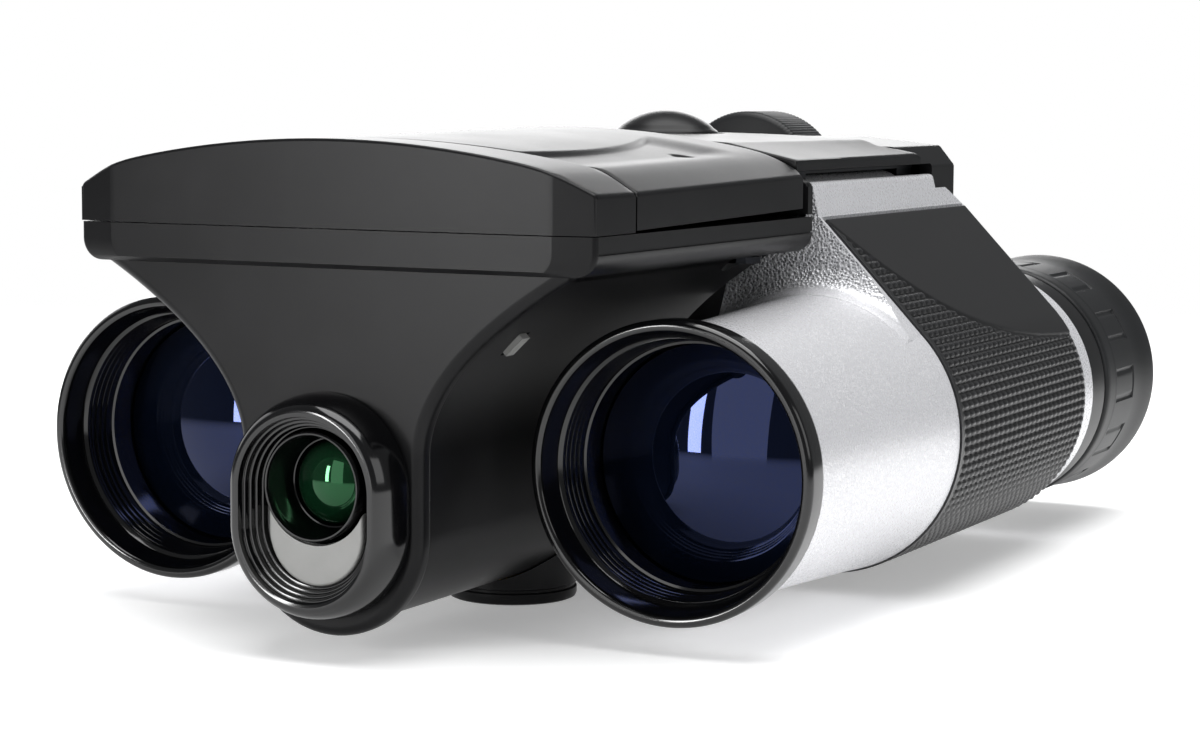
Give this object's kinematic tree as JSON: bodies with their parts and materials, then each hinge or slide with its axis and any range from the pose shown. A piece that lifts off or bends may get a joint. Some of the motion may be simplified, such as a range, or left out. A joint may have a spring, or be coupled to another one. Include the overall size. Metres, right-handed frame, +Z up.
{
  "type": "camera binoculars",
  "caption": "Compact roof-prism binoculars with hinged barrels, a central camera, a flip-up screen lid, focus wheel, twist-up eyecups and a tripod foot.",
  "frame": {"origin": "centre of the bounding box at the underside of the tripod foot", "axes": "+Y along the sight lines towards the eyepieces, +Z up, +X towards the user's left barrel"},
  "size_m": [0.0926, 0.1428, 0.0541],
  "materials": {
    "body_black": "fine matt texture, slight sheen",
    "gloss_black": "polished black",
    "silver_paint": "sparkling silver paint, coarse texture at the shoulder",
    "grip_rubber": "moulded rubber, knurled beads and a smooth patch",
    "cup_rubber": "smooth matt rubber",
    "objective_glass": "blue anti-reflection coating",
    "camera_glass": "green coating",
    "clear_glass": "clear",
    "plate_grey": "satin grey",
    "steel": "blued steel",
    "brass": "turned brass",
    "board_green": "solder mask",
    "screen_glass": "dark display window",
    "cell_wrap": "printed-free shrink wrap"
  },
  "bodies": {
    "housing": {"lower_shell": "body_black", "front_hood": "body_black", "control_deck": "body_black", "spine_cover": "body_black", "rear_cap": "body_black", "hinge_bridge": "steel", "camera_bezel": "gloss_black", "bezel_plate": "plate_grey", "camera_barrel": "gloss_black", "camera_lens": "camera_glass", "sensor_board": "board_green", "main_board": "board_green", "indicator_window": "plate_grey", "tripod_foot": "body_black", "tripod_nut": "brass", "upper_battery": "cell_wrap", "lower_battery": "cell_wrap", "case_screw_1": "steel", "case_screw_2": "steel", "left_hinge_pin": "steel", "right_hinge_pin": "steel", "lid_hinge_pin": "steel"},
    "battery_door": {"battery_door": "body_black"},
    "lid": {"lid_cover": "body_black", "screen_bezel": "gloss_black", "screen_panel": "screen_glass"},
    "focus_knob": {"focus_wheel": "cup_rubber", "focus_shaft": "steel"},
    "focus_carriage": {"focus_carriage": "brass"},
    "shutter": {"shutter_button": "body_black"},
    "power_key": {"power_button": "plate_grey"},
    "menu_key": {"menu_button": "plate_grey"},
    "up_key": {"up_button": "plate_grey"},
    "down_key": {"down_button": "plate_grey"},
    "left_barrel": {"left_barrel_shell": "silver_paint", "left_grip": "grip_rubber", "left_objective_ring": "gloss_black", "left_objective_lens": "objective_glass", "left_roof_prism": "clear_glass", "left_pechan_prism": "clear_glass", "left_ocular_tube": "gloss_black", "left_eye_lens": "clear_glass", "left_neck_ring": "gloss_black"},
    "right_barrel": {"right_barrel_shell": "silver_paint", "right_grip": "grip_rubber", "right_objective_ring": "gloss_black", "right_objective_lens": "objective_glass", "right_roof_prism": "clear_glass", "right_pechan_prism": "clear_glass"},
    "right_diopter": {"right_diopter_ring": "gloss_black"},
    "right_ocular": {"right_ocular_tube": "gloss_black", "right_eye_lens": "clear_glass"},
    "left_focus_group": {"left_focus_cell": "body_black", "left_focus_lens": "clear_glass"},
    "left_cup_carrier": {"left_eyecup_carrier": "gloss_black"},
    "left_cup": {"left_eyecup": "cup_rubber"},
    "right_focus_group": {"right_focus_cell": "body_black", "right_focus_lens": "clear_glass"},
    "right_cup_carrier": {"right_eyecup_carrier": "gloss_black"},
    "right_cup": {"right_eyecup": "cup_rubber"}
  },
  "joints": [
    {"name": "left_hinge", "type": "hinge", "parent": "housing", "child": "left_barrel", "pos_m": [0.0235, 0.0089, 0.0434], "axis": [0, -1, 0], "range_deg": [-4.5, 14.4]},
    {"name": "right_hinge", "type": "hinge", "parent": "housing", "child": "right_barrel", "pos_m": [-0.0235, 0.0089, 0.0434], "axis": [0, 1, 0], "range_deg": [-4.5, 14.4]},
    {"name": "lid_flip", "type": "hinge", "parent": "housing", "child": "lid", "pos_m": [0, -0.0576, 0.0494], "axis": [1, 0, 0], "range_deg": [0, 85]},
    {"name": "focus_turn", "type": "hinge", "parent": "housing", "child": "focus_knob", "pos_m": [0, 0.0389, 0.0442], "axis": [0, 1, 0], "range_deg": [-270, 270]},
    {"name": "carriage_slide", "type": "slide", "parent": "housing", "child": "focus_carriage", "axis": [0, 1, 0], "range_m": [-0.0024, 0.0024]},
    {"name": "shutter_press", "type": "slide", "parent": "housing", "child": "shutter", "axis": [0, 0, -1], "range_m": [0, 0.0008], "stiffness_N_per_m": 1200, "springref_m": -0.0004},
    {"name": "battery_door_slide", "type": "slide", "parent": "housing", "child": "battery_door", "axis": [0, 1, 0], "range_m": [0, 0.03]},
    {"name": "power_press", "type": "slide", "parent": "housing", "child": "power_key", "axis": [0, 0, -1], "range_m": [0, 0.0005], "stiffness_N_per_m": 900, "springref_m": -0.0004},
    {"name": "menu_press", "type": "slide", "parent": "housing", "child": "menu_key", "axis": [0, 0, -1], "range_m": [0, 0.0005], "stiffness_N_per_m": 900, "springref_m": -0.0004},
    {"name": "up_press", "type": "slide", "parent": "housing", "child": "up_key", "axis": [0, 0, -1], "range_m": [0, 0.0005], "stiffness_N_per_m": 900, "springref_m": -0.0004},
    {"name": "down_press", "type": "slide", "parent": "housing", "child": "down_key", "axis": [0, 0, -1], "range_m": [0, 0.0005], "stiffness_N_per_m": 900, "springref_m": -0.0004},
    {"name": "right_diopter_turn", "type": "hinge", "parent": "right_barrel", "child": "right_diopter", "pos_m": [-0.03, 0.0469, 0.0184], "axis": [0, 1, 0], "range_deg": [-60, 60]},
    {"name": "right_ocular_slide", "type": "slide", "parent": "right_barrel", "child": "right_ocular", "axis": [0, 1, 0], "range_m": [-0.0006, 0.0006]},
    {"name": "left_focus_slide", "type": "slide", "parent": "left_barrel", "child": "left_focus_group", "axis": [0, 1, 0], "range_m": [-0.0024, 0.0024]},
    {"name": "left_cup_rise", "type": "slide", "parent": "left_barrel", "child": "left_cup_carrier", "axis": [0, 1, 0], "range_m": [0, 0.006]},
    {"name": "left_cup_twist", "type": "hinge", "parent": "left_cup_carrier", "child": "left_cup", "pos_m": [0.03, 0.0589, 0.0184], "axis": [0, 1, 0], "range_deg": [0, 100.5]},
    {"name": "right_focus_slide", "type": "slide", "parent": "right_barrel", "child": "right_focus_group", "axis": [0, 1, 0], "range_m": [-0.0024, 0.0024]},
    {"name": "right_cup_rise", "type": "slide", "parent": "right_ocular", "child": "right_cup_carrier", "axis": [0, 1, 0], "range_m": [0, 0.006]},
    {"name": "right_cup_twist", "type": "hinge", "parent": "right_cup_carrier", "child": "right_cup", "pos_m": [-0.03, 0.0589, 0.0184], "axis": [0, 1, 0], "range_deg": [0, 100.5]}
  ],
  "couplings": [
    {"joint": "focus_turn", "follows": "carriage_slide", "rad_per_m": 1962.5},
    {"joint": "left_focus_slide", "follows": "carriage_slide", "ratio": 1},
    {"joint": "right_focus_slide", "follows": "carriage_slide", "ratio": 1},
    {"joint": "right_diopter_turn", "follows": "right_ocular_slide", "rad_per_m": 1744.5},
    {"joint": "left_cup_twist", "follows": "left_cup_rise", "rad_per_m": 290.89},
    {"joint": "right_cup_twist", "follows": "right_cup_rise", "rad_per_m": 290.89}
  ]
}
